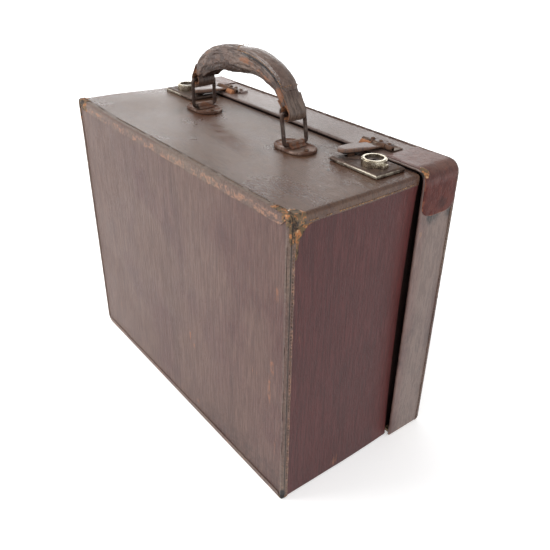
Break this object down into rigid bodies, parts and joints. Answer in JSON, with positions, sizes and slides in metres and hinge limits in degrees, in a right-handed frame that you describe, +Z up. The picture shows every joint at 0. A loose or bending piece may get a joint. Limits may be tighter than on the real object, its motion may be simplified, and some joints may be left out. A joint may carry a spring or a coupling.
{
  "type": "rigid leather case",
  "caption": "Rigid leather-covered carrying case with a slip-over hinged lid, an arched handle on dee rings, and two sliding locks with leather-covered hasps.",
  "frame": {"origin": "centre of the case's base on the surface that it stands on", "axes": "+X across the case to its right, -Y towards the big front panel, +Y towards the lid, +Z up through the handle"},
  "size_m": [0.414, 0.204, 0.4007],
  "materials": {
    "leather_front": "worn long-grain leather, dusty purple brown",
    "leather_top": "worn long-grain leather, grey brown with a soft sheen",
    "leather_side": "long-grain leather, dark maroon brown",
    "leather_base": "plain dark leather",
    "leather_binding": "edge leather rubbed through to tan",
    "leather_lid": "smooth worn leather, grey brown",
    "leather_patch": "smooth leather, reddish brown",
    "leather_grip": "thick dark leather, rubbed to orange tan at the edges",
    "leather_strap": "raw tan leather, frayed",
    "grip_filler": "packed fibre",
    "board": "thin pressed board",
    "lining": "aged cloth-backed paper, matt",
    "rusty_steel": "brown rust and old plating",
    "lock_steel": "tarnished plating with rust on the edges",
    "nickel": "worn nickel plating"
  },
  "bodies": {
    "case": {"front_board": "board", "top_board": "board", "bottom_board": "board", "left_board": "board", "right_board": "board", "front_leather": "leather_front", "top_leather": "leather_top", "bottom_leather": "leather_base", "left_leather": "leather_side", "right_leather": "leather_side", "front_edge_binding": "leather_binding", "rim_binding": "leather_binding", "body_lining": "lining", "handle_plate_left": "rusty_steel", "handle_plate_right": "rusty_steel", "handle_rivets": "rusty_steel", "lock_plate_left": "lock_steel", "lock_plate_right": "lock_steel", "lock_case_left": "rusty_steel", "lock_case_right": "rusty_steel", "lock_spring_left": "lock_steel", "lock_spring_right": "lock_steel", "hinge_leaves_body": "rusty_steel", "hinge_pins": "rusty_steel", "hinge_rivets_body": "rusty_steel"},
    "lid": {"lid_panel_board": "board", "lid_top_board": "board", "lid_bottom_board": "board", "lid_left_board": "board", "lid_right_board": "board", "lid_panel_leather": "leather_front", "lid_band_leather": "leather_lid", "lid_edge_binding": "leather_binding", "lid_corner_patch_left": "leather_patch", "lid_corner_patch_right": "leather_patch", "lid_lining": "lining", "hasp_leaf_left": "rusty_steel", "hasp_leaf_right": "rusty_steel", "hasp_pin_left": "rusty_steel", "hasp_pin_right": "rusty_steel", "hasp_patch_left": "leather_lid", "hasp_patch_right": "leather_lid", "hasp_rivets": "rusty_steel", "hinge_leaves_lid": "rusty_steel", "hinge_rivets_lid": "rusty_steel"},
    "ring_left": {"ring_left": "rusty_steel"},
    "ring_right": {"ring_right": "rusty_steel"},
    "handle": {"handle_strap": "leather_strap", "handle_filler": "grip_filler", "handle_cover": "leather_grip", "handle_grip_wrap": "leather_grip"},
    "slide_left": {"lock_slide_left": "nickel"},
    "slide_right": {"lock_slide_right": "nickel"},
    "plug_left": {"key_plug_left": "lock_steel"},
    "plug_right": {"key_plug_right": "lock_steel"},
    "hasp_left": {"hasp_left": "rusty_steel", "hasp_leather_left": "leather_lid"},
    "hasp_right": {"hasp_right": "rusty_steel", "hasp_leather_right": "leather_lid"}
  },
  "joints": [
    {"name": "lid_hinge", "type": "hinge", "parent": "case", "child": "lid", "pos_m": [0, 0.0525, 0.0025], "axis": [-1, 0, 0], "range_deg": [0, 95]},
    {"name": "ring_left_swing", "type": "hinge", "parent": "case", "child": "ring_left", "pos_m": [-0.088, 0.004, 0.3212], "axis": [0, 1, 0], "range_deg": [-50, 50]},
    {"name": "ring_right_swing", "type": "hinge", "parent": "case", "child": "ring_right", "pos_m": [0.08, 0.004, 0.3212], "axis": [0, 1, 0], "range_deg": [-50, 50]},
    {"name": "handle_swing", "type": "hinge", "parent": "ring_left", "child": "handle", "pos_m": [-0.088, 0.004, 0.3512], "axis": [0, 1, 0], "range_deg": [-52, 52]},
    {"name": "slide_left_release", "type": "slide", "parent": "case", "child": "slide_left", "axis": [-1, 0, 0], "range_m": [0, 0.006], "stiffness_N_per_m": 300, "springref_m": -0.01, "deforming": ["lock_spring_left"]},
    {"name": "plug_left_turn", "type": "hinge", "parent": "slide_left", "child": "plug_left", "pos_m": [-0.165, 0.027, 0.324], "axis": [0, 0, 1], "range_deg": [0, 90]},
    {"name": "hasp_left_lift", "type": "hinge", "parent": "lid", "child": "hasp_left", "pos_m": [-0.134, 0.0655, 0.3227], "axis": [-1, 0, 0], "range_deg": [0, 110]},
    {"name": "slide_right_release", "type": "slide", "parent": "case", "child": "slide_right", "axis": [1, 0, 0], "range_m": [0, 0.006], "stiffness_N_per_m": 300, "springref_m": -0.01, "deforming": ["lock_spring_right"]},
    {"name": "plug_right_turn", "type": "hinge", "parent": "slide_right", "child": "plug_right", "pos_m": [0.165, 0.027, 0.324], "axis": [0, 0, 1], "range_deg": [0, 90]},
    {"name": "hasp_right_lift", "type": "hinge", "parent": "lid", "child": "hasp_right", "pos_m": [0.134, 0.0655, 0.3227], "axis": [-1, 0, 0], "range_deg": [0, 110]}
  ],
  "couplings": [
    {"joint": "ring_right_swing", "follows": "ring_left_swing", "ratio": 1},
    {"joint": "handle_swing", "follows": "ring_left_swing", "ratio": -1.031}
  ]
}
